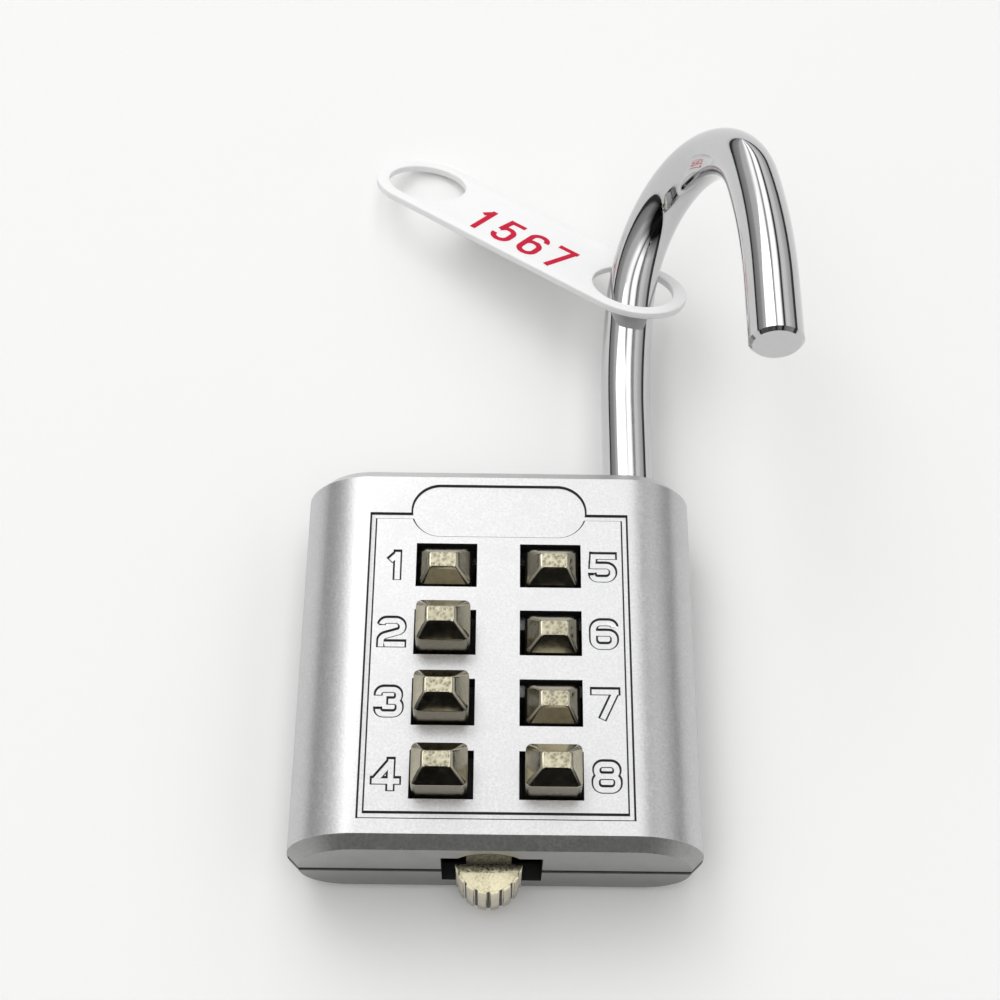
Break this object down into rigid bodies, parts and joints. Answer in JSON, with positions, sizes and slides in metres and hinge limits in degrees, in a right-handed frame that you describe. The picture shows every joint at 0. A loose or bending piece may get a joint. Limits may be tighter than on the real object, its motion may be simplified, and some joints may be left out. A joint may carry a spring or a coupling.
{
  "type": "push-button combination padlock",
  "caption": "Push-button combination padlock with a raised, swung chrome shackle, numbered keys in two columns, a fluted opener under the body and a plastic code tag.",
  "frame": {"origin": "centre of the flat back face", "axes": "+X right across the face, +Y towards the shackle, +Z out of the front face"},
  "size_m": [0.049, 0.094, 0.0337],
  "materials": {
    "silver_paint": "satin silver paint with fine metal grain",
    "chrome": "polished chrome",
    "antique_nickel": "polished antique nickel, rough on the flats",
    "nickel": "warm nickel, speckled casting",
    "plate_steel": "plain stamped steel",
    "white_plastic": "white plastic with printed red numbers"
  },
  "bodies": {
    "case": {"front_shell": "silver_paint", "back_cover": "silver_paint", "key_carrier": "plate_steel", "detent_spring": "plate_steel", "retaining_clip": "plate_steel", "shackle_spring": "plate_steel", "opener_spring_left": "plate_steel", "opener_spring_right": "plate_steel", "rivet_1": "silver_paint", "rivet_2": "silver_paint", "rivet_3": "silver_paint", "rivet_4": "silver_paint"},
    "gate": {"gate_plate": "plate_steel", "opener": "nickel"},
    "lifter": {"spring_cap": "plate_steel"},
    "shackle": {"shackle": "chrome", "code_tag": "white_plastic"},
    "key_1": {"key_1": "antique_nickel"},
    "key_2": {"key_2": "antique_nickel"},
    "key_3": {"key_3": "antique_nickel"},
    "key_4": {"key_4": "antique_nickel"},
    "key_5": {"key_5": "antique_nickel"},
    "key_6": {"key_6": "antique_nickel"},
    "key_7": {"key_7": "antique_nickel"},
    "key_8": {"key_8": "antique_nickel"}
  },
  "joints": [
    {"name": "key_1_press", "type": "slide", "parent": "case", "child": "key_1", "axis": [0, 0, 1], "range_m": [0, 0.003], "deforming": ["detent_spring"]},
    {"name": "key_2_press", "type": "slide", "parent": "case", "child": "key_2", "axis": [0, 0, -1], "range_m": [0, 0.003], "deforming": ["detent_spring"]},
    {"name": "key_3_press", "type": "slide", "parent": "case", "child": "key_3", "axis": [0, 0, -1], "range_m": [0, 0.003], "deforming": ["detent_spring"]},
    {"name": "key_4_press", "type": "slide", "parent": "case", "child": "key_4", "axis": [0, 0, -1], "range_m": [0, 0.003], "deforming": ["detent_spring"]},
    {"name": "key_5_press", "type": "slide", "parent": "case", "child": "key_5", "axis": [0, 0, 1], "range_m": [0, 0.003], "deforming": ["detent_spring"]},
    {"name": "key_6_press", "type": "slide", "parent": "case", "child": "key_6", "axis": [0, 0, 1], "range_m": [0, 0.003], "deforming": ["detent_spring"]},
    {"name": "key_7_press", "type": "slide", "parent": "case", "child": "key_7", "axis": [0, 0, 1], "range_m": [0, 0.003], "deforming": ["detent_spring"]},
    {"name": "key_8_press", "type": "slide", "parent": "case", "child": "key_8", "axis": [0, 0, -1], "range_m": [0, 0.003], "deforming": ["detent_spring"]},
    {"name": "opener_slide", "type": "slide", "parent": "case", "child": "gate", "axis": [-1, 0, 0], "range_m": [-0.0015, 0.0015], "stiffness_N_per_m": 300, "deforming": ["opener_spring_left", "opener_spring_right"]},
    {"name": "shackle_lift", "type": "slide", "parent": "case", "child": "lifter", "axis": [0, 1, 0], "range_m": [-0.012, 0], "stiffness_N_per_m": 150, "deforming": ["shackle_spring"]},
    {"name": "shackle_turn", "type": "hinge", "parent": "lifter", "child": "shackle", "pos_m": [0.0138, 0, 0.00665], "axis": [0, 1, 0], "range_deg": [-117.2, 242.8]}
  ]
}
